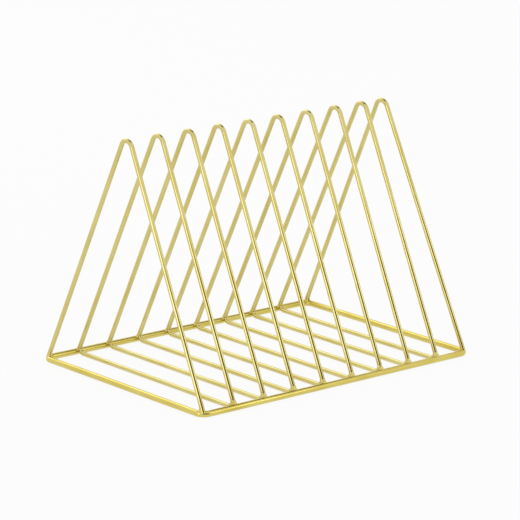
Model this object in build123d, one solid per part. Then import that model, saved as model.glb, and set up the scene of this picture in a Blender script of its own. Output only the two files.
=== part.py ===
"""Desktop magazine rack of welded wire.

A thick wire is bent into a rounded rectangle that lies on the desk: the base ring.
Ten triangular dividers of thinner wire stand across it and leave nine slots.
The eight middle dividers are closed triangles. They lie on the desk inside the ring,
and their rounded feet are sunk a little into its inner side.
The two end dividers are open below. Their legs stand on the corner bends of the ring,
whose short sides close the triangle.
A small fillet of weld metal joins every foot to the ring.

The wires are round. Here each has flat sides that touch the true circle, above and below
among them, so every size across the rack stays that of the round wire.

Frame: X along the row of dividers, -Y the front, +Z up, the desk at Z = 0,
and the origin under the middle of the rack. All sizes are in millimetres.
"""
import os
from math import acos, atan2, cos, degrees, hypot, pi, radians, sin, sqrt, tan

from build123d import *

# Overall size
rack_length = 258.0
rack_width = 177.0
rack_height = 178.0

# Wires, and the number of flat sides each is given
ring_wire_d = 4.5
divider_wire_d = 3.4
ring_wire_sides = 12
divider_wire_sides = 10

# Bends, on the centre line of the wire
ring_corner_bend = 6.5
divider_foot_bend = 4.2
divider_apex_bend = 5.9

# Dividers
middle_divider_count = 8
# The last two dividers lean towards the left
last_middle_lean_degrees = 0.5
right_end_lean_degrees = 2.9
# The end dividers' legs stand in the middle of the ring's corner bends
corner_stand_degrees = 45.0

# Depth of each foot in the ring: of a middle divider's bend, and of an end divider's leg
bend_set_depth = 0.25
leg_set_depth = 1.5

# Fillets of weld metal, a flat oval at the base that narrows to a tip hidden inside the leg
fillet_sides = 8
fillet_height = 4.6
fillet_skirt_depth = 1.3
fillet_tip_r = 1.05
# At a middle divider, where the base stops just inside the ring's outer side
# and the tip lies off the leg's centre
fillet_half_length = 3.2
fillet_half_width = 2.4
fillet_edge_inset = 0.25
fillet_tip_shift = 0.4
# At an end divider
corner_fillet_half_length = 2.8
corner_fillet_half_width = 2.0

ring_r = ring_wire_d / 2
wire_r = divider_wire_d / 2

# Centre line of the ring: half its length and half its width, and its top
ring_x = rack_length / 2 - ring_r
ring_y = rack_width / 2 - ring_r
ring_top = ring_wire_d

# How far the legs of the end dividers, on the ring's corner bends, stand in from its straights
corner_inset = ring_corner_bend * (1 - cos(radians(corner_stand_degrees)))
end_divider_x = ring_x - corner_inset
end_foot_y = ring_y - corner_inset
pitch = 2 * end_divider_x / (middle_divider_count + 1)


def leg_normal(foot_y, foot_z, foot_bend):
    """Outward unit normal (y, z) of the leg that is tangent to the foot bend and the apex bend."""
    rise = apex_z - foot_z
    run = -foot_y
    span = hypot(run, rise)
    angle = atan2(rise, run) - acos((foot_bend - divider_apex_bend) / span)
    return cos(angle), sin(angle)


# Centres of the bends of a middle divider. The foot bend is pressed into the ring.
apex_z = rack_height - wire_r - divider_apex_bend
foot_z = wire_r + divider_foot_bend
foot_to_ring = divider_foot_bend + wire_r + ring_r - bend_set_depth
foot_y = ring_y - sqrt(foot_to_ring**2 - (foot_z - ring_r) ** 2)

middle_normal = leg_normal(foot_y, foot_z, divider_foot_bend)
end_normal = leg_normal(end_foot_y, ring_top, 0.0)


def on_bend(centre_y, centre_z, bend, angle):
    """Point of a bend in the plane of a divider, at an angle in radians from +Y."""
    return Vector(0, centre_y + bend * cos(angle), centre_z + bend * sin(angle))


def apex_arc(normal):
    """The bend at the top, from the front leg to the rear leg."""
    front = Vector(0, -divider_apex_bend * normal[0], apex_z + divider_apex_bend * normal[1])
    top = Vector(0, 0, apex_z + divider_apex_bend)
    rear = Vector(0, divider_apex_bend * normal[0], apex_z + divider_apex_bend * normal[1])
    return Edge.make_three_point_arc(front, top, rear)


def tube(path, normal, wire_d, sides):
    """A wire along a flat path: a rod for each straight and a turned length for each bend."""
    section = RegularPolygon(wire_d / 2, sides, major_radius=False, rotation=90 + 180 / sides)
    lengths = []
    for edge in path.edges():
        start = edge @ 0
        along = edge % 0
        face = Plane(origin=start, x_dir=normal, z_dir=along) * section
        if edge.geom_type == GeomType.LINE:
            lengths.append(extrude(face, amount=edge.length))
        else:
            centre = edge.arc_center
            axis = Axis(centre, (start - centre).cross(along))
            lengths.append(revolve(face, axis, degrees(edge.length / edge.radius)))
    return Part() + lengths


def base_ring():
    """The closed ring on the desk."""
    outline = RectangleRounded(2 * ring_x, 2 * ring_y, ring_corner_bend).wire()
    return tube(Pos(0, 0, ring_r) * outline, (0, 0, 1), ring_wire_d, ring_wire_sides)


def middle_divider():
    """Closed triangle: bottom wire, two foot bends, two legs and the apex bend."""
    leg_angle = atan2(middle_normal[1], middle_normal[0])
    mid_angle = (leg_angle - pi / 2) / 2
    rear_low = on_bend(foot_y, foot_z, divider_foot_bend, -pi / 2)
    rear_mid = on_bend(foot_y, foot_z, divider_foot_bend, mid_angle)
    rear_high = on_bend(foot_y, foot_z, divider_foot_bend, leg_angle)
    front_low = on_bend(-foot_y, foot_z, divider_foot_bend, -pi / 2)
    front_mid = on_bend(-foot_y, foot_z, divider_foot_bend, pi - mid_angle)
    front_high = on_bend(-foot_y, foot_z, divider_foot_bend, pi - leg_angle)
    apex = apex_arc(middle_normal)
    # The path starts in the middle of the bottom wire, where the two ends of the wire meet
    bottom = Vector(0, 0, wire_r)
    path = Wire(
        [
            Edge.make_line(bottom, front_low),
            Edge.make_three_point_arc(front_low, front_mid, front_high),
            Edge.make_line(front_high, apex @ 0),
            apex,
            Edge.make_line(apex @ 1, rear_high),
            Edge.make_three_point_arc(rear_high, rear_mid, rear_low),
            Edge.make_line(rear_low, bottom),
        ]
    )
    return tube(path, (1, 0, 0), divider_wire_d, divider_wire_sides)


def end_divider():
    """Open triangle: two legs that run down into the corner bends of the ring."""
    apex = apex_arc(end_normal)
    # Each leg's centre line meets the top of the ring, and the wire runs on into the ring
    slope = end_normal[1] / end_normal[0]
    cut_z = ring_top - leg_set_depth
    cut_y = end_foot_y + leg_set_depth * slope
    front = Vector(0, -cut_y, cut_z)
    rear = Vector(0, cut_y, cut_z)
    path = Wire([Edge.make_line(front, apex @ 0), apex, Edge.make_line(apex @ 1, rear)])
    return tube(path, (1, 0, 0), divider_wire_d, divider_wire_sides)


def leaning(shape, lean):
    """Turn a divider towards the left about its bottom wire."""
    return Pos(0, 0, wire_r) * Rot(0, -lean, 0) * Pos(0, 0, -wire_r) * shape


def lean_shift(height, lean):
    """How far a leaning divider has moved along X at a height."""
    return -(height - wire_r) * tan(radians(lean))


def rear_leg_y(normal, anchor_y, anchor_z, height):
    """Y of the centre line of a rear leg at a height, from one point on it."""
    return anchor_y - (height - anchor_z) * normal[1] / normal[0]


def oval(half_length, half_width):
    """Flat many-sided oval."""
    angles = [2 * pi * (side + 0.5) / fillet_sides for side in range(fillet_sides)]
    return Polygon(*[(half_length * cos(a), half_width * sin(a)) for a in angles], align=None)


def fillet(base_y, tip_y, half_length, half_width, lean, turn):
    """Weld metal that narrows from an oval set into the ring up to the tip inside a rear leg."""
    base_z = ring_top - fillet_skirt_depth
    tip_z = ring_top + fillet_height
    base = Pos(lean_shift(base_z, lean), base_y, base_z) * Rot(0, 0, turn) * oval(half_length, half_width)
    tip = Pos(lean_shift(tip_z, lean), tip_y, tip_z) * Rot(0, 0, turn) * oval(fillet_tip_r, fillet_tip_r)
    return loft([base, tip], ruled=True)


def middle_fillet(lean):
    """Weld metal at the rear foot of a middle divider, from the ring up the outer side of its leg."""
    leg_y = foot_y + divider_foot_bend * middle_normal[0]
    leg_z = foot_z + divider_foot_bend * middle_normal[1]
    base_y = ring_y + ring_r - fillet_edge_inset - fillet_half_width
    tip_y = rear_leg_y(middle_normal, leg_y, leg_z, ring_top + fillet_height) + fillet_tip_shift
    return fillet(base_y, tip_y, fillet_half_length, fillet_half_width, lean, 0)


def corner_fillet(lean, turn):
    """Weld metal at the rear foot of an end divider, all round the leg on top of the corner bend."""
    tip_y = rear_leg_y(end_normal, end_foot_y, ring_top, ring_top + fillet_height)
    return fillet(end_foot_y, tip_y, corner_fillet_half_length, corner_fillet_half_width, lean, turn)


def front_and_rear(shape):
    """A rear piece with its mirror image at the front."""
    return shape + mirror(shape, about=Plane.XZ)


def build():
    """Every piece of the rack in its place, by name."""
    pieces = {}
    ring = base_ring()
    pieces["base_ring"] = ring

    loop = middle_divider()
    for index in range(middle_divider_count):
        number = index + 1
        lean = last_middle_lean_degrees if number == middle_divider_count else 0.0
        place = Pos(-end_divider_x + pitch * number, 0, 0)
        divider = place * leaning(loop, lean) - ring
        metal = middle_fillet(lean)
        pieces[f"divider_{number}"] = divider
        pieces[f"foot_welds_{number}"] = place * front_and_rear(metal) - divider - ring

    legs = end_divider()
    for side, sign, lean in (("left", -1, 0.0), ("right", 1, right_end_lean_degrees)):
        place = Pos(sign * end_divider_x, 0, 0)
        divider = place * leaning(legs, lean) - ring
        metal = corner_fillet(lean, -sign * corner_stand_degrees)
        pieces[f"end_divider_{side}"] = divider
        pieces[f"foot_welds_{side}"] = place * front_and_rear(metal) - divider - ring
    return pieces


if __name__ == "__main__":
    os.makedirs("parts", exist_ok=True)
    for name, piece in build().items():
        export_step(piece, f"parts/{name}.step")
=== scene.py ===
"""Desktop magazine rack of gold-plated welded wire: round wires, weld fillets, stage, light and camera."""
import math

import bpy
from mathutils import Matrix, Vector


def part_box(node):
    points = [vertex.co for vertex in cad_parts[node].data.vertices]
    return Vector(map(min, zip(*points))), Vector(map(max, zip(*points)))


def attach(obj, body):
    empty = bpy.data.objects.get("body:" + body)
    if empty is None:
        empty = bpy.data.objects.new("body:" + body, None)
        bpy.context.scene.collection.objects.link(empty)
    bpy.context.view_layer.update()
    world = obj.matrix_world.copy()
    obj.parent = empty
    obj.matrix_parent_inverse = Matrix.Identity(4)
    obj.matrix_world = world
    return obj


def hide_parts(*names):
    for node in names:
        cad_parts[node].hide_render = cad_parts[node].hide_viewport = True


bl_info = {
    "name": "Desktop magazine rack",
    "version": (1, 0, 0),
    "blender": (4, 5, 0),
    "location": "View3D > Sidebar > Rack",
    "description": "Makes a desktop magazine rack of gold-plated welded wire",
    "category": "Add Mesh",
}

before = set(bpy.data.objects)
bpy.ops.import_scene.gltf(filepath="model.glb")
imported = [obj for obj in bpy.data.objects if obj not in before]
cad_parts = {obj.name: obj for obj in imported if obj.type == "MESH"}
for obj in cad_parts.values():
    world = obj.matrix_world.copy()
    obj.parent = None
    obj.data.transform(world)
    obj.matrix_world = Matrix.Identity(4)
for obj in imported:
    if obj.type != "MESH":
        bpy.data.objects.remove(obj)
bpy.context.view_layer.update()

BODY = "root"
MM = 0.001
MIDDLE_DIVIDERS = 8

RING_LOW, RING_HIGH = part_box("base_ring")
RACK_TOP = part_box("divider_1")[1].z

# Node trees and finishes, by name
WIRE_TREE = "Bent wire"
WELD_TREE = "Foot welds"
RING_GOLD = "Gold-plated ring wire, drawn"
DIVIDER_GOLD = "Gold-plated divider wire, drawn"
WELD_GOLD = "Gold-plated weld metal"

# Points round a wire, and along each bend
SECTION_POINTS = 32
BEND_POINTS = 20

# Points of a wire closer than this are one, which closes its seam
MERGE_DISTANCE = 0.001 * MM

# Swelling where the two ends of a wire are butted, as half its length and its share of the radius
BUTT_X = 2.6 * MM
BEAD_STEPS = 5
RING_BEAD_HALF = 1.6 * MM
DIVIDER_BEAD_HALF = 1.2 * MM
BEAD_HEIGHT = 0.05

# The end dividers' legs stand in the middle of the ring's corner bends, and run on into the ring
CORNER_STAND = math.pi / 4
LEG_SET = 1.5 * MM

# Weld metal. The drum that is drawn into its flare has sides, steps up it and rings across its ends
DRUM_SIDES = 32
DRUM_STEPS = 20
DRUM_RINGS = 4
FLARE_POWER = 2.0
# Its lowest share of height, hidden in the ring, narrows to this share of the width
ROOT_SHARE = 0.16
ROOT_NARROWING = 0.6
# Size of the lumps, and the part of their noise's range that is used
WELD_LUMP = 1.5 * MM
LUMP_RANGE = (0.25, 0.75)
WELD_ROOT = 1.9 * MM
WELD_HALF_WIDTH = 2.3 * MM
WELD_TIP_INSET = 0.2 * MM
MIDDLE_BASE_INSET = 0.5 * MM
CORNER_WELD_SHARE = 0.9
CORNER_WELD_HALF_WIDTH = 2.0 * MM

# Gold finishes: the lines of the drawing die, the pits of the weld metal, and the drift of the colour
LINE_WIDTH = 0.5 * MM
LINE_LENGTH = 16 * MM
PIT_WIDTH = 0.9 * MM
DRIFT_LENGTH = 30 * MM
# Parts of the noises' ranges over which the colour drifts and the marks show
DRIFT_RANGE = (0.35, 0.65)
MARK_RANGE = (0.45, 0.75)
# Least and most roughness, as shares of a finish's own
ROUGHNESS_SWING = (0.75, 1.3)
# How far in from the ring's side the painted shade on the dividers' feet fades out and where it is full,
# and how strong it is there
FOOT_SHADE_FADE = 9 * MM
FOOT_SHADE_FULL = 5 * MM
FOOT_SHADE_SHARE = 0.35

# Camera, found from the rack's own lines in the photograph
CAMERA_AZIMUTH = math.radians(-41.98)
CAMERA_ELEVATION = math.radians(14.49)
CAMERA_ROLL = math.radians(1.39)
CAMERA_DISTANCE = 2265 * MM
CAMERA_SHIFT_RIGHT = 1.63 * MM
CAMERA_SHIFT_UP = 70.74 * MM
CAMERA_FOCAL_PIXELS = 3137
PICTURE_PIXELS = 520
SENSOR_MM = 36.0
CAMERA_NEAR = 0.1
CAMERA_FAR = 50

# Floor and light. Strengths are radiance, where 1 is white
WHITE = "ffffff"
FLOOR_COLOUR = "efefef"
FLOOR_REACH = 6.0
FLOOR_GLOW_SHARE = 0.9
WORLD_FILL = 0.82
REAR_BOX = 0.9
SIDE_BOX = 1.8
DARK_CARD = 0.1


def linear(hex_colour):
    """An sRGB colour such as "d8c070" as linear red, green, blue and alpha."""
    channels = [int(hex_colour[i : i + 2], 16) / 255 for i in (0, 2, 4)]
    return [c / 12.92 if c <= 0.04045 else ((c + 0.055) / 1.055) ** 2.4 for c in channels] + [1.0]


class RackSizes(bpy.types.PropertyGroup):
    """Sizes of the wires and their bends."""

    ring_wire: bpy.props.FloatProperty(
        name="Ring wire",
        description="Diameter of the thick wire of the base ring",
        default=RING_HIGH.z - RING_LOW.z,
        unit="LENGTH",
    )
    divider_wire: bpy.props.FloatProperty(
        name="Divider wire",
        description="Diameter of the dividers' wire",
        default=3.4 * MM,
        unit="LENGTH",
    )
    corner_bend: bpy.props.FloatProperty(
        name="Corner bend",
        description="Bend radius of the ring's corners, on the centre line",
        default=6.5 * MM,
        unit="LENGTH",
    )
    foot_bend: bpy.props.FloatProperty(
        name="Foot bend", description="Bend radius at a divider's feet", default=4.2 * MM, unit="LENGTH"
    )
    apex_bend: bpy.props.FloatProperty(
        name="Apex bend", description="Bend radius at a divider's top", default=5.9 * MM, unit="LENGTH"
    )
    foot_set: bpy.props.FloatProperty(
        name="Foot set",
        description="How far a foot bend is sunk into the ring",
        default=0.25 * MM,
        unit="LENGTH",
    )
    last_lean: bpy.props.FloatProperty(
        name="Last divider's lean",
        description="Lean of the last middle divider towards the left",
        default=math.radians(0.5),
        unit="ROTATION",
    )
    end_lean: bpy.props.FloatProperty(
        name="Right end's lean",
        description="Lean of the right end divider towards the left",
        default=math.radians(2.9),
        unit="ROTATION",
    )


class RackWelds(bpy.types.PropertyGroup):
    """Sizes of the weld metal."""

    half_length: bpy.props.FloatProperty(
        name="Half length",
        description="Half of a fillet's length along the ring",
        default=3.1 * MM,
        unit="LENGTH",
    )
    height: bpy.props.FloatProperty(
        name="Height",
        description="How far a fillet runs up a leg",
        default=4.8 * MM,
        unit="LENGTH",
    )
    ripple: bpy.props.FloatProperty(
        name="Ripple",
        description="Depth of the uneven skin of the weld metal",
        default=0.16 * MM,
        unit="LENGTH",
    )


class RackColours(bpy.types.PropertyGroup):
    """Body colours of the gold finishes."""

    ring: bpy.props.FloatVectorProperty(
        name="Ring gold",
        description="Body colour of the ring's plating",
        default=linear("d2bf5e"),
        size=4,
        subtype="COLOR",
    )
    divider: bpy.props.FloatVectorProperty(
        name="Divider gold",
        description="Body colour of the dividers' plating",
        default=linear("d2c37a"),
        size=4,
        subtype="COLOR",
    )
    weld: bpy.props.FloatVectorProperty(
        name="Weld gold",
        description="Body colour of the plating on the weld metal",
        default=linear("d2be66"),
        size=4,
        subtype="COLOR",
    )


def add_node(tree, kind, inputs=None, **settings):
    """A node with its settings. An input is a value, or the socket that it is linked to."""
    node = tree.nodes.new(kind)
    for name, value in settings.items():
        setattr(node, name, value)
    for socket, value in (inputs or {}).items():
        if isinstance(value, bpy.types.NodeSocket):
            tree.links.new(value, node.inputs[socket])
        else:
            node.inputs[socket].default_value = value
    return node


def wire_lines(tree):
    """Share of the fine lines that a drawing die leaves along a wire, from the wire's own attributes.

    The real lines are about 0.05 mm wide. They are drawn about ten times coarser, so that they show.
    """
    section = add_node(tree, "ShaderNodeAttribute", attribute_name="wire_section")
    along = add_node(tree, "ShaderNodeAttribute", attribute_name="wire_along")
    across = add_node(
        tree,
        "ShaderNodeVectorMath",
        {0: section.outputs["Vector"], "Scale": 1 / LINE_WIDTH},
        operation="SCALE",
    )
    flat = add_node(tree, "ShaderNodeSeparateXYZ", {0: across.outputs[0]})
    far = add_node(
        tree, "ShaderNodeMath", {0: along.outputs["Fac"], 1: 1 / LINE_LENGTH}, operation="MULTIPLY"
    )
    place = add_node(
        tree,
        "ShaderNodeCombineXYZ",
        {"X": flat.outputs["X"], "Y": flat.outputs["Y"], "Z": far.outputs[0]},
    )
    lines = add_node(
        tree, "ShaderNodeTexNoise", {"Vector": place.outputs[0], "Scale": 1.0, "Detail": 2.0}
    )
    return lines.outputs["Fac"]


def cast_grain(tree):
    """Share of the small pits and ridges that molten metal sets with."""
    place = add_node(tree, "ShaderNodeTexCoord")
    pits = add_node(
        tree,
        "ShaderNodeTexNoise",
        {"Vector": place.outputs["Object"], "Scale": 1 / PIT_WIDTH, "Detail": 3.0},
    )
    return pits.outputs["Fac"]


def gold(name, pattern, base, drift_to, shade, shade_share, roughness, bump, foot_shade=None):
    """Plated metal whose colour drifts, with a fine pattern in its colour, gloss and relief.

    The body colour is linear, and the others are sRGB. The bump is the depth of the relief in metres.
    """
    material = bpy.data.materials.new(name)
    material.use_nodes = True
    tree = material.node_tree
    tree.nodes.clear()
    marks = pattern(tree)
    place = add_node(tree, "ShaderNodeTexCoord")
    drift = add_node(
        tree,
        "ShaderNodeTexNoise",
        {"Vector": place.outputs["Object"], "Scale": 1 / DRIFT_LENGTH, "Detail": 2.0},
    )
    drift_share = add_node(
        tree,
        "ShaderNodeMapRange",
        {"Value": drift.outputs["Fac"], "From Min": DRIFT_RANGE[0], "From Max": DRIFT_RANGE[1]},
    )
    body = add_node(
        tree,
        "ShaderNodeMix",
        {"Factor": drift_share.outputs["Result"], "A": base, "B": linear(drift_to)},
        data_type="RGBA",
    )
    mark_share = add_node(
        tree,
        "ShaderNodeMapRange",
        {
            "Value": marks,
            "From Min": MARK_RANGE[0],
            "From Max": MARK_RANGE[1],
            "To Max": shade_share,
        },
    )
    colour = add_node(
        tree,
        "ShaderNodeMix",
        {"Factor": mark_share.outputs["Result"], "A": body.outputs["Result"], "B": linear(shade)},
        data_type="RGBA",
    ).outputs["Result"]
    # Painted shade: darker and browner towards the feet, where the legs meet the ring
    if foot_shade:
        colour = paint_foot_shade(tree, place, colour, foot_shade)
    least, most = (roughness * share for share in ROUGHNESS_SWING)
    rough = add_node(tree, "ShaderNodeMapRange", {"Value": marks, "To Min": least, "To Max": most})
    relief = add_node(tree, "ShaderNodeBump", {"Height": marks, "Distance": bump, "Strength": 1.0})
    shader = add_node(
        tree,
        "ShaderNodeBsdfPrincipled",
        {
            "Base Color": colour,
            "Metallic": 1.0,
            "Roughness": rough.outputs["Result"],
            "Normal": relief.outputs["Normal"],
        },
    )
    add_node(tree, "ShaderNodeOutputMaterial", {"Surface": shader.outputs["BSDF"]})


def paint_foot_shade(tree, place, colour, tint):
    """Darkens a divider's feet with painted shade where they meet the ring; they are the only part of it
    that lies this far out along Y.
    """
    xyz = add_node(tree, "ShaderNodeSeparateXYZ", {0: place.outputs["Object"]})
    out = add_node(tree, "ShaderNodeMath", {0: xyz.outputs["Y"]}, operation="ABSOLUTE")
    share = add_node(
        tree,
        "ShaderNodeMapRange",
        {
            "Value": out.outputs[0],
            "From Min": RING_HIGH.y - FOOT_SHADE_FADE,
            "From Max": RING_HIGH.y - FOOT_SHADE_FULL,
            "To Max": FOOT_SHADE_SHARE,
        },
        interpolation_type="SMOOTHSTEP",
    )
    tinted = add_node(
        tree,
        "ShaderNodeMix",
        {"Factor": share.outputs["Result"], "A": colour, "B": linear(tint)},
        data_type="RGBA",
    )
    return tinted.outputs["Result"]


def geometry_tree(name, inputs):
    """An empty geometry node tree with named inputs. Returns the tree and its input node."""
    tree = bpy.data.node_groups.new(name, "GeometryNodeTree")
    tree.interface.new_socket("Geometry", in_out="INPUT", socket_type="NodeSocketGeometry")
    tree.interface.new_socket("Geometry", in_out="OUTPUT", socket_type="NodeSocketGeometry")
    for label, kind in inputs.items():
        tree.interface.new_socket(label, in_out="INPUT", socket_type=kind)
    return tree, tree.nodes.new("NodeGroupInput").outputs


def placed(tree, geometry, given):
    """Leans geometry about the bottom wire and puts it in its place in the row, then ends the tree."""
    for socket, label in (("Translation", "Axis Down"), ("Rotation", "Lean"), ("Translation", "Place")):
        moved = add_node(tree, "GeometryNodeTransform", {"Geometry": geometry, socket: given[label]})
        geometry = moved.outputs[0]
    real = add_node(tree, "GeometryNodeRealizeInstances", {"Geometry": geometry})
    smooth = add_node(tree, "GeometryNodeSetShadeSmooth", {"Geometry": real.outputs[0]})
    dressed = add_node(
        tree, "GeometryNodeSetMaterial", {"Geometry": smooth.outputs[0], "Material": given["Material"]}
    )
    add_node(tree, "NodeGroupOutput", {"Geometry": dressed.outputs[0]})


PLACE_INPUTS = {
    "Axis Down": "NodeSocketVector",
    "Lean": "NodeSocketRotation",
    "Place": "NodeSocketVector",
    "Material": "NodeSocketMaterial",
}


def wire_tree():
    """Bends a path at its corners and sweeps a round section along it.

    A corner's bend radius is the radius of its point. A swelling marks where the wire's ends are butted.
    """
    tree, given = geometry_tree(
        WIRE_TREE,
        {
            "Wire Diameter": "NodeSocketFloat",
            "Section Points": "NodeSocketInt",
            "Bend Points": "NodeSocketInt",
            "Bead Half Length": "NodeSocketFloat",
            "Bead Height": "NodeSocketFloat",
            "Capped": "NodeSocketBool",
            **PLACE_INPUTS,
        },
    )
    bend = add_node(tree, "GeometryNodeInputRadius")
    bent = add_node(
        tree,
        "GeometryNodeFilletCurve",
        {"Curve": given["Geometry"], "Count": given["Bend Points"], "Radius": bend.outputs[0]},
        mode="POLY",
    )
    along = add_node(tree, "GeometryNodeSplineParameter")
    length = add_node(tree, "GeometryNodeSplineLength")
    left = add_node(
        tree,
        "ShaderNodeMath",
        {0: length.outputs["Length"], 1: along.outputs["Length"]},
        operation="SUBTRACT",
    )
    nearest = add_node(
        tree, "ShaderNodeMath", {0: along.outputs["Length"], 1: left.outputs[0]}, operation="MINIMUM"
    )
    bead = add_node(
        tree,
        "ShaderNodeMapRange",
        {
            "Value": nearest.outputs[0],
            "From Max": given["Bead Half Length"],
            "To Min": given["Bead Height"],
            "To Max": 0.0,
        },
        interpolation_type="SMOOTHSTEP",
    )
    swelling = add_node(tree, "ShaderNodeMath", {0: bead.outputs[0], 1: 1.0}, operation="ADD")
    thick = add_node(
        tree, "GeometryNodeSetCurveRadius", {"Curve": bent.outputs[0], "Radius": swelling.outputs[0]}
    )
    measured = add_node(
        tree,
        "GeometryNodeStoreNamedAttribute",
        {"Geometry": thick.outputs[0], "Name": "wire_along", "Value": along.outputs["Length"]},
        data_type="FLOAT",
    )
    half = add_node(tree, "ShaderNodeMath", {0: given["Wire Diameter"], 1: 0.5}, operation="MULTIPLY")
    section = add_node(
        tree,
        "GeometryNodeCurvePrimitiveCircle",
        {"Resolution": given["Section Points"], "Radius": half.outputs[0]},
    )
    at = add_node(tree, "GeometryNodeInputPosition")
    marked = add_node(
        tree,
        "GeometryNodeStoreNamedAttribute",
        {"Geometry": section.outputs[0], "Name": "wire_section", "Value": at.outputs[0]},
        data_type="FLOAT_VECTOR",
    )
    tube = add_node(
        tree,
        "GeometryNodeCurveToMesh",
        {
            "Curve": measured.outputs[0],
            "Profile Curve": marked.outputs[0],
            "Fill Caps": given["Capped"],
        },
    )
    joined = add_node(
        tree, "GeometryNodeMergeByDistance", {"Geometry": tube.outputs[0], "Distance": MERGE_DISTANCE}
    )
    placed(tree, joined.outputs[0], given)


def weld_tree():
    """Weld metal at both feet of a divider.

    A drum is drawn into a flare: an oval set into the ring that narrows, hollow sided, up to a tip
    inside the leg.
    """
    tree, given = geometry_tree(
        WELD_TREE,
        {
            "Half Length": "NodeSocketFloat",
            "Half Width": "NodeSocketFloat",
            "Tip Radius": "NodeSocketFloat",
            "Base": "NodeSocketVector",
            "Tip": "NodeSocketVector",
            "Turn": "NodeSocketFloat",
            "Ripple": "NodeSocketFloat",
            "Seed": "NodeSocketFloat",
            **PLACE_INPUTS,
        },
    )
    drum = add_node(
        tree,
        "GeometryNodeMeshCylinder",
        {
            "Vertices": DRUM_SIDES,
            "Side Segments": DRUM_STEPS,
            "Fill Segments": DRUM_RINGS,
            "Radius": 1.0,
            "Depth": 1.0,
        },
    )
    at = add_node(tree, "GeometryNodeInputPosition")
    xyz = add_node(tree, "ShaderNodeSeparateXYZ", {0: at.outputs[0]})
    rise = add_node(
        tree, "ShaderNodeMath", {0: xyz.outputs["Z"], 1: 0.5}, operation="ADD", use_clamp=True
    )
    fall = add_node(
        tree, "ShaderNodeMath", {0: 1.0, 1: rise.outputs[0]}, operation="SUBTRACT", use_clamp=True
    )
    flare = add_node(tree, "ShaderNodeMath", {0: fall.outputs[0], 1: FLARE_POWER}, operation="POWER")
    root = add_node(
        tree,
        "ShaderNodeMapRange",
        {"Value": rise.outputs[0], "From Max": ROOT_SHARE, "To Min": ROOT_NARROWING, "To Max": 1.0},
        interpolation_type="SMOOTHSTEP",
    )
    halves = []
    for label, axis in (("Half Length", "X"), ("Half Width", "Y")):
        half = add_node(
            tree,
            "ShaderNodeMix",
            {"Factor": flare.outputs[0], "A": given["Tip Radius"], "B": given[label]},
            data_type="FLOAT",
        )
        rooted = add_node(
            tree, "ShaderNodeMath", {0: half.outputs[0], 1: root.outputs[0]}, operation="MULTIPLY"
        )
        spread = add_node(
            tree, "ShaderNodeMath", {0: xyz.outputs[axis], 1: rooted.outputs[0]}, operation="MULTIPLY"
        )
        halves.append(spread.outputs[0])
    flat = add_node(tree, "ShaderNodeCombineXYZ", {"X": halves[0], "Y": halves[1]})
    turned = add_node(
        tree,
        "ShaderNodeVectorRotate",
        {"Vector": flat.outputs[0], "Angle": given["Turn"]},
        rotation_type="Z_AXIS",
    )
    climb = add_node(
        tree,
        "ShaderNodeMix",
        {"Factor": rise.outputs[0], "A": given["Base"], "B": given["Tip"]},
        data_type="VECTOR",
    )
    place = add_node(
        tree, "ShaderNodeVectorMath", {0: turned.outputs[0], 1: climb.outputs["Result"]}, operation="ADD"
    )
    rear = add_node(
        tree, "GeometryNodeSetPosition", {"Geometry": drum.outputs["Mesh"], "Position": place.outputs[0]}
    )
    mirrored = add_node(
        tree, "GeometryNodeTransform", {"Geometry": rear.outputs[0], "Scale": (1.0, -1.0, 1.0)}
    )
    front = add_node(tree, "GeometryNodeFlipFaces", {"Mesh": mirrored.outputs[0]})
    both = add_node(tree, "GeometryNodeJoinGeometry")
    tree.links.new(rear.outputs[0], both.inputs[0])
    tree.links.new(front.outputs[0], both.inputs[0])
    lumps = add_node(
        tree,
        "ShaderNodeTexNoise",
        {"Scale": 1 / WELD_LUMP, "Detail": 2.0, "W": given["Seed"]},
        noise_dimensions="4D",
    )
    swing = add_node(
        tree,
        "ShaderNodeMapRange",
        {
            "Value": lumps.outputs[0],
            "From Min": LUMP_RANGE[0],
            "From Max": LUMP_RANGE[1],
            "To Min": -1.0,
        },
    )
    depth = add_node(
        tree, "ShaderNodeMath", {0: swing.outputs[0], 1: given["Ripple"]}, operation="MULTIPLY"
    )
    outward = add_node(tree, "GeometryNodeInputNormal")
    push = add_node(
        tree,
        "ShaderNodeVectorMath",
        {0: outward.outputs[0], "Scale": depth.outputs[0]},
        operation="SCALE",
    )
    uneven = add_node(
        tree, "GeometryNodeSetPosition", {"Geometry": both.outputs[0], "Offset": push.outputs[0]}
    )
    placed(tree, uneven.outputs[0], given)


def make_piece(name, source, tree, values, nodes):
    """Runs a tree on an object and keeps the result as a plain mesh that replaces CAD nodes."""
    modifier = source.modifiers.new("Shape", "NODES")
    modifier.node_group = tree
    for item in tree.interface.items_tree:
        if item.in_out == "INPUT" and item.name in values:
            modifier[item.identifier] = values[item.name]
    bpy.context.view_layer.update()
    shown = source.evaluated_get(bpy.context.evaluated_depsgraph_get())
    mesh = bpy.data.meshes.new_from_object(shown)
    if not mesh.polygons:
        raise RuntimeError(f"{name} came out empty")
    mesh.name = name
    bpy.data.objects.remove(source)
    piece = bpy.data.objects.new(name, mesh)
    bpy.context.scene.collection.objects.link(piece)
    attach(piece, BODY)
    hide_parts(*nodes)


def path_object(points):
    """A polyline through (point, bend radius) pairs."""
    curve = bpy.data.curves.new("path", "CURVE")
    curve.dimensions = "3D"
    spline = curve.splines.new("POLY")
    spline.points.add(len(points) - 1)
    for target, (place, bend) in zip(spline.points, points):
        target.co = (*place, 1.0)
        target.radius = bend
    path = bpy.data.objects.new("path", curve)
    bpy.context.scene.collection.objects.link(path)
    return path


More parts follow.
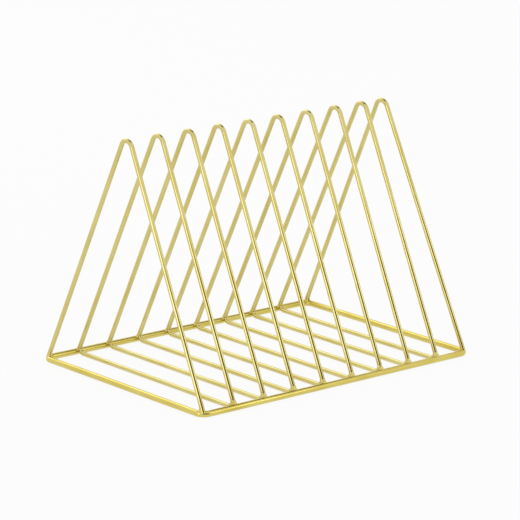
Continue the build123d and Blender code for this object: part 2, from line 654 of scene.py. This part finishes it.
def with_bead_points(points, bead_half):
    """Adds points near both ends of a path, so that the wire can swell there."""
    step = bead_half / BEAD_STEPS
    start, end = points[0][0], points[-1][0]
    forward = (points[1][0] - start).normalized() * step
    backward = (points[-2][0] - end).normalized() * step
    first = [(start + forward * i, 0.0) for i in range(1, BEAD_STEPS + 1)]
    last = [(end + backward * i, 0.0) for i in range(BEAD_STEPS, 0, -1)]
    return [points[0], *first, *points[1:-1], *last, points[-1]]


def leg_y(leg, height):
    """Y of the centre line of a rear leg at a height."""
    normal, y, z = leg
    return y - (height - z) * normal[1] / normal[0]


def sharp_apex(leg):
    """Height where the two legs' centre lines would meet without the bend."""
    normal, y, z = leg
    return z + y * normal[0] / normal[1]


class Layout:
    """Places worked out from the sizes.

    A leg is given by its outward normal and by y and z of a point on its centre line.
    """

    def __init__(self, sizes):
        self.ring_r = sizes.ring_wire / 2
        self.wire_r = sizes.divider_wire / 2
        self.ring_x = RING_HIGH.x - self.ring_r
        self.ring_y = RING_HIGH.y - self.ring_r
        self.ring_top = sizes.ring_wire
        inset = sizes.corner_bend * (1 - math.cos(CORNER_STAND))
        self.end_x = self.ring_x - inset
        self.end_y = self.ring_y - inset
        self.pitch = 2 * self.end_x / (MIDDLE_DIVIDERS + 1)
        self.apex_bend = sizes.apex_bend
        self.apex_z = RACK_TOP - self.wire_r - sizes.apex_bend
        self.foot_z = self.wire_r + sizes.foot_bend
        reach = sizes.foot_bend + self.wire_r + self.ring_r - sizes.foot_set
        self.foot_y = self.ring_y - math.sqrt(reach**2 - (self.foot_z - self.ring_r) ** 2)
        self.foot_bend = sizes.foot_bend
        self.last_lean = sizes.last_lean
        self.end_lean = sizes.end_lean
        normal = self.leg_normal(self.foot_y, self.foot_z, sizes.foot_bend)
        leaves_y = self.foot_y + sizes.foot_bend * normal[0]
        leaves_z = self.foot_z + sizes.foot_bend * normal[1]
        self.middle_leg = (normal, leaves_y, leaves_z)
        self.end_leg = (self.leg_normal(self.end_y, self.ring_top, 0.0), self.end_y, self.ring_top)

    def leg_normal(self, foot_y, foot_z, foot_bend):
        """Outward unit normal (y, z) of the rear leg, which is tangent to both bends."""
        rise = self.apex_z - foot_z
        span = math.hypot(foot_y, rise)
        angle = math.atan2(rise, -foot_y) - math.acos((foot_bend - self.apex_bend) / span)
        return math.cos(angle), math.sin(angle)

    def middle_row(self):
        """Number, X and lean of each middle divider, of which only the last one leans."""
        for number in range(1, MIDDLE_DIVIDERS + 1):
            lean = self.last_lean if number == MIDDLE_DIVIDERS else 0.0
            yield number, -self.end_x + self.pitch * number, lean

    def end_pair(self):
        """Side, X, lean and sign of the turn of each end divider."""
        return ("left", -self.end_x, 0.0, 1), ("right", self.end_x, self.end_lean, -1)

    def stand(self, x, lean):
        """Inputs that lean a piece towards -X about the bottom wire and put it in its place in the row."""
        return {
            "Axis Down": (0.0, 0.0, -self.wire_r),
            "Lean": (0.0, -lean, 0.0),
            "Place": (x, 0.0, self.wire_r),
        }


class RACK_OT_base_ring(bpy.types.Operator):
    """Makes the thick wire ring that lies on the desk"""

    bl_idname = "rack.base_ring"
    bl_label = "Base ring"

    def execute(self, context):
        sizes = context.scene.rack_sizes
        plan = Layout(sizes)
        butt = Vector((BUTT_X, -plan.ring_y, plan.ring_r))
        corners = [(1, -1), (1, 1), (-1, 1), (-1, -1)]
        points = [(butt, 0.0)]
        for x, y in corners:
            points.append((Vector((x * plan.ring_x, y * plan.ring_y, plan.ring_r)), sizes.corner_bend))
        points.append((butt, 0.0))
        make_piece(
            "base_ring_wire",
            path_object(with_bead_points(points, RING_BEAD_HALF)),
            bpy.data.node_groups[WIRE_TREE],
            {
                "Wire Diameter": sizes.ring_wire,
                "Section Points": SECTION_POINTS,
                "Bend Points": BEND_POINTS,
                "Bead Half Length": RING_BEAD_HALF,
                "Bead Height": BEAD_HEIGHT,
                "Capped": False,
                "Material": bpy.data.materials[RING_GOLD],
            },
            ["base_ring"],
        )
        return {"FINISHED"}


class RACK_OT_middle_dividers(bpy.types.Operator):
    """Makes the eight closed wire triangles that stand inside the ring"""

    bl_idname = "rack.middle_dividers"
    bl_label = "Middle dividers"

    def execute(self, context):
        sizes = context.scene.rack_sizes
        plan = Layout(sizes)
        corner_y = leg_y(plan.middle_leg, plan.wire_r)
        apex = sharp_apex(plan.middle_leg)
        butt = Vector((0, 0, plan.wire_r))
        for number, x, lean in plan.middle_row():
            points = [
                (butt, 0.0),
                (Vector((0, -corner_y, plan.wire_r)), plan.foot_bend),
                (Vector((0, 0, apex)), plan.apex_bend),
                (Vector((0, corner_y, plan.wire_r)), plan.foot_bend),
                (butt, 0.0),
            ]
            make_piece(
                f"divider_wire_{number}",
                path_object(with_bead_points(points, DIVIDER_BEAD_HALF)),
                bpy.data.node_groups[WIRE_TREE],
                {
                    "Wire Diameter": sizes.divider_wire,
                    "Section Points": SECTION_POINTS,
                    "Bend Points": BEND_POINTS,
                    "Bead Half Length": DIVIDER_BEAD_HALF,
                    "Bead Height": BEAD_HEIGHT,
                    "Capped": False,
                    **plan.stand(x, lean),
                    "Material": bpy.data.materials[DIVIDER_GOLD],
                },
                [f"divider_{number}"],
            )
        return {"FINISHED"}


class RACK_OT_end_dividers(bpy.types.Operator):
    """Makes the two open wire triangles whose legs stand on the ring's corners"""

    bl_idname = "rack.end_dividers"
    bl_label = "End dividers"

    def execute(self, context):
        sizes = context.scene.rack_sizes
        plan = Layout(sizes)
        cut_z = plan.ring_top - LEG_SET
        cut_y = leg_y(plan.end_leg, cut_z)
        apex = sharp_apex(plan.end_leg)
        for side, x, lean, _ in plan.end_pair():
            points = [
                (Vector((0, -cut_y, cut_z)), 0.0),
                (Vector((0, 0, apex)), plan.apex_bend),
                (Vector((0, cut_y, cut_z)), 0.0),
            ]
            make_piece(
                f"end_wire_{side}",
                path_object(points),
                bpy.data.node_groups[WIRE_TREE],
                {
                    "Wire Diameter": sizes.divider_wire,
                    "Section Points": SECTION_POINTS,
                    "Bend Points": BEND_POINTS,
                    "Bead Half Length": DIVIDER_BEAD_HALF,
                    "Bead Height": 0.0,
                    "Capped": True,
                    **plan.stand(x, lean),
                    "Material": bpy.data.materials[DIVIDER_GOLD],
                },
                [f"end_divider_{side}"],
            )
        return {"FINISHED"}


class RACK_OT_foot_welds(bpy.types.Operator):
    """Makes the weld metal that joins each foot to the ring"""

    bl_idname = "rack.foot_welds"
    bl_label = "Foot welds"

    def execute(self, context):
        sizes = context.scene.rack_sizes
        welds = context.scene.rack_welds
        plan = Layout(sizes)
        base_z = plan.ring_top - WELD_ROOT
        tip_z = plan.ring_top + welds.height
        middle = {
            "Half Length": welds.half_length,
            "Half Width": WELD_HALF_WIDTH,
            "Base": (0.0, plan.ring_y - MIDDLE_BASE_INSET, base_z),
            "Tip": (0.0, leg_y(plan.middle_leg, tip_z), tip_z),
            "Turn": 0.0,
        }
        corner = {
            "Half Length": welds.half_length * CORNER_WELD_SHARE,
            "Half Width": CORNER_WELD_HALF_WIDTH,
            "Base": (0.0, plan.end_y, base_z),
            "Tip": (0.0, leg_y(plan.end_leg, tip_z), tip_z),
        }
        feet = [(number, x, lean, middle) for number, x, lean in plan.middle_row()]
        for side, x, lean, turn_sign in plan.end_pair():
            feet.append((side, x, lean, {**corner, "Turn": turn_sign * CORNER_STAND}))
        for seed, (label, x, lean, shape) in enumerate(feet):
            source = bpy.data.objects.new("weld", bpy.data.meshes.new("weld"))
            context.scene.collection.objects.link(source)
            make_piece(
                f"weld_metal_{label}",
                source,
                bpy.data.node_groups[WELD_TREE],
                {
                    **shape,
                    "Tip Radius": plan.wire_r - WELD_TIP_INSET,
                    "Ripple": welds.ripple,
                    "Seed": float(seed),
                    **plan.stand(x, lean),
                    "Material": bpy.data.materials[WELD_GOLD],
                },
                [f"foot_welds_{label}"],
            )
        return {"FINISHED"}


def make_camera():
    """Puts the camera where the photograph was taken from."""
    back = Vector(
        (
            math.sin(CAMERA_AZIMUTH) * math.cos(CAMERA_ELEVATION),
            -math.cos(CAMERA_AZIMUTH) * math.cos(CAMERA_ELEVATION),
            math.sin(CAMERA_ELEVATION),
        )
    )
    level = Vector((math.cos(CAMERA_AZIMUTH), math.sin(CAMERA_AZIMUTH), 0))
    above = back.cross(level)
    right = math.cos(CAMERA_ROLL) * level + math.sin(CAMERA_ROLL) * above
    up = math.cos(CAMERA_ROLL) * above - math.sin(CAMERA_ROLL) * level
    data = bpy.data.cameras.new("camera")
    data.sensor_width = SENSOR_MM
    data.lens = SENSOR_MM * CAMERA_FOCAL_PIXELS / PICTURE_PIXELS
    data.clip_start = CAMERA_NEAR
    data.clip_end = CAMERA_FAR
    camera = bpy.data.objects.new("camera", data)
    place = back * CAMERA_DISTANCE + right * CAMERA_SHIFT_RIGHT + up * CAMERA_SHIFT_UP
    camera.matrix_world = Matrix.Translation(place) @ Matrix((right, up, back)).transposed().to_4x4()
    bpy.context.scene.collection.objects.link(camera)
    bpy.context.scene.camera = camera


def sheet(name, half_length, half_width, centre, facing):
    """A flat rectangle of the stage that faces a direction."""
    mesh = bpy.data.meshes.new(name)
    turn = Vector(facing).to_track_quat("Z", "Y")
    corners = []
    for x, y in ((-1, -1), (1, -1), (1, 1), (-1, 1)):
        corners.append(turn @ Vector((x * half_length, y * half_width, 0)) + Vector(centre))
    mesh.from_pydata(corners, [], [(0, 1, 2, 3)])
    plate = bpy.data.objects.new(name, mesh)
    bpy.context.scene.collection.objects.link(plate)
    return plate


def background_rays(tree):
    """One for rays that show the background: the camera's own, reflected and refracted ones."""
    ray = add_node(tree, "ShaderNodeLightPath")
    reflected = add_node(
        tree,
        "ShaderNodeMath",
        {0: ray.outputs["Is Camera Ray"], 1: ray.outputs["Is Glossy Ray"]},
        operation="MAXIMUM",
    )
    refracted = add_node(
        tree,
        "ShaderNodeMath",
        {0: reflected.outputs[0], 1: ray.outputs["Is Transmission Ray"]},
        operation="MAXIMUM",
    )
    return refracted.outputs[0]


def make_floor():
    """A pale floor that looks white, also in reflections, and keeps a faint shadow."""
    floor = sheet("floor", FLOOR_REACH, FLOOR_REACH, (0, 0, 0), (0, 0, 1))
    material = bpy.data.materials.new("White paper sweep")
    material.use_nodes = True
    tree = material.node_tree
    tree.nodes.clear()
    lit = add_node(tree, "ShaderNodeBsdfDiffuse", {"Color": linear(FLOOR_COLOUR)})
    glow = add_node(tree, "ShaderNodeEmission", {"Color": linear(WHITE), "Strength": 1.0})
    seen = add_node(
        tree, "ShaderNodeMath", {0: background_rays(tree), 1: FLOOR_GLOW_SHARE}, operation="MULTIPLY"
    )
    mixed = add_node(
        tree, "ShaderNodeMixShader", {0: seen.outputs[0], 1: lit.outputs[0], 2: glow.outputs[0]}
    )
    add_node(tree, "ShaderNodeOutputMaterial", {"Surface": mixed.outputs[0]})
    floor.data.materials.append(material)


def make_card(name, radiance, half_length, half_height, place, facing):
    """A card of the studio that only reflections show. Its sizes and place are in metres."""
    card = sheet(name, half_length, half_height, place, facing)
    material = bpy.data.materials.new(name)
    material.use_nodes = True
    tree = material.node_tree
    tree.nodes.clear()
    even = add_node(tree, "ShaderNodeEmission", {"Color": linear(WHITE), "Strength": radiance})
    add_node(tree, "ShaderNodeOutputMaterial", {"Surface": even.outputs[0]})
    card.data.materials.append(material)
    card.visible_camera = False
    card.visible_diffuse = False
    card.visible_shadow = False


def make_soft_box(name, radiance, size, place):
    """A square lamp that points at the rack and has the same radiance all over, in metres."""
    data = bpy.data.lights.new(name, "AREA")
    data.shape = "SQUARE"
    data.size = size
    data.energy = radiance * math.pi * size**2
    box = bpy.data.objects.new(name, data)
    turn = Vector(place).to_track_quat("Z", "Y").to_matrix().to_4x4()
    box.matrix_world = Matrix.Translation(place) @ turn
    box.visible_camera = False
    bpy.context.scene.collection.objects.link(box)


def make_world():
    """White for the camera and for reflections, soft white light for the rest."""
    world = bpy.data.worlds.new("studio")
    bpy.context.scene.world = world
    world.use_nodes = True
    tree = world.node_tree
    tree.nodes.clear()
    white = add_node(tree, "ShaderNodeBackground", {"Color": linear(WHITE), "Strength": 1.0})
    fill = add_node(tree, "ShaderNodeBackground", {"Color": linear(WHITE), "Strength": WORLD_FILL})
    mixed = add_node(
        tree, "ShaderNodeMixShader", {0: background_rays(tree), 1: fill.outputs[0], 2: white.outputs[0]}
    )
    add_node(tree, "ShaderNodeOutputWorld", {"Surface": mixed.outputs[0]})


class RACK_OT_stage(bpy.types.Operator):
    """Makes the floor, the light and the camera"""

    bl_idname = "rack.stage"
    bl_label = "Stage, light and camera"

    def execute(self, context):
        make_floor()
        make_world()
        # In front of the rack: the dark line down the front legs
        make_card(
            "Low dark card",
            DARK_CARD,
            half_length=0.5,
            half_height=0.315,
            place=(-0.33, -0.95, 0.315),
            facing=(0.33, 0.95, 0),
        )
        # Overhead: the dark spot on each apex bend
        make_card(
            "Overhead dark card",
            DARK_CARD,
            half_length=0.4,
            half_height=0.4,
            place=(0.1, 0.1, 1.4),
            facing=(-0.1, -0.1, -1.2),
        )
        # High on the right: the dark band along the rails
        make_card(
            "High dark card",
            DARK_CARD,
            half_length=0.3,
            half_height=0.2,
            place=(0.98, 0.2, 1.3),
            facing=(-0.98, -0.2, -1.15),
        )
        make_soft_box("Rear soft box", REAR_BOX, size=1.1, place=(0.1, 1.5, 1.25))
        make_soft_box("Left soft box", SIDE_BOX, size=0.5, place=(-1.7, -0.3, 0.35))
        make_soft_box("Right soft box", SIDE_BOX, size=0.22, place=(0.75, -1.0, 0.58))
        make_camera()
        context.scene.view_settings.view_transform = "Standard"
        return {"FINISHED"}


class RACK_PT_panel(bpy.types.Panel):
    """Lists what makes the rack"""

    bl_label = "Magazine rack"
    bl_idname = "RACK_PT_panel"
    bl_space_type = "VIEW_3D"
    bl_region_type = "UI"
    bl_category = "Rack"

    def draw(self, context):
        for operator in OPERATORS:
            self.layout.operator(operator.bl_idname)


OPERATORS = (
    RACK_OT_base_ring,
    RACK_OT_middle_dividers,
    RACK_OT_end_dividers,
    RACK_OT_foot_welds,
    RACK_OT_stage,
)
CLASSES = (RackSizes, RackWelds, RackColours, *OPERATORS, RACK_PT_panel)


def register():
    """Makes the classes and their properties known."""
    for cls in CLASSES:
        bpy.utils.register_class(cls)
    bpy.types.Scene.rack_sizes = bpy.props.PointerProperty(type=RackSizes)
    bpy.types.Scene.rack_welds = bpy.props.PointerProperty(type=RackWelds)
    bpy.types.Scene.rack_colours = bpy.props.PointerProperty(type=RackColours)


def unregister():
    """Removes what register() added."""
    del bpy.types.Scene.rack_colours
    del bpy.types.Scene.rack_welds
    del bpy.types.Scene.rack_sizes
    for cls in reversed(CLASSES):
        bpy.utils.unregister_class(cls)


def make_materials():
    """The finishes of the rack."""
    colours = bpy.context.scene.rack_colours
    # Deep yellow, with crisp reflections that run on as lines along the rails
    gold(
        RING_GOLD,
        wire_lines,
        tuple(colours.ring),
        drift_to="dccc73",
        shade="a68d3a",
        shade_share=0.3,
        roughness=0.12,
        bump=0.003 * MM,
    )
    # Paler, lemon gold, with painted shade that makes it a little darker and browner at the feet, where
    # they meet the ring
    gold(
        DIVIDER_GOLD,
        wire_lines,
        tuple(colours.divider),
        drift_to="d9ce89",
        shade="ab9851",
        shade_share=0.3,
        roughness=0.1,
        bump=0.003 * MM,
        foot_shade="b69a4a",
    )
    # Duller and browner, with a pitted skin that breaks the reflections into spots
    gold(
        WELD_GOLD,
        cast_grain,
        tuple(colours.weld),
        drift_to="dccb7c",
        shade="8f7733",
        shade_share=0.4,
        roughness=0.2,
        bump=0.02 * MM,
    )


def main():
    """Makes the whole rack on its stage."""
    register()
    make_materials()
    wire_tree()
    weld_tree()
    bpy.ops.rack.stage()
    bpy.ops.rack.base_ring()
    bpy.ops.rack.middle_dividers()
    bpy.ops.rack.end_dividers()
    bpy.ops.rack.foot_welds()


if __name__ == "__main__":
    main()
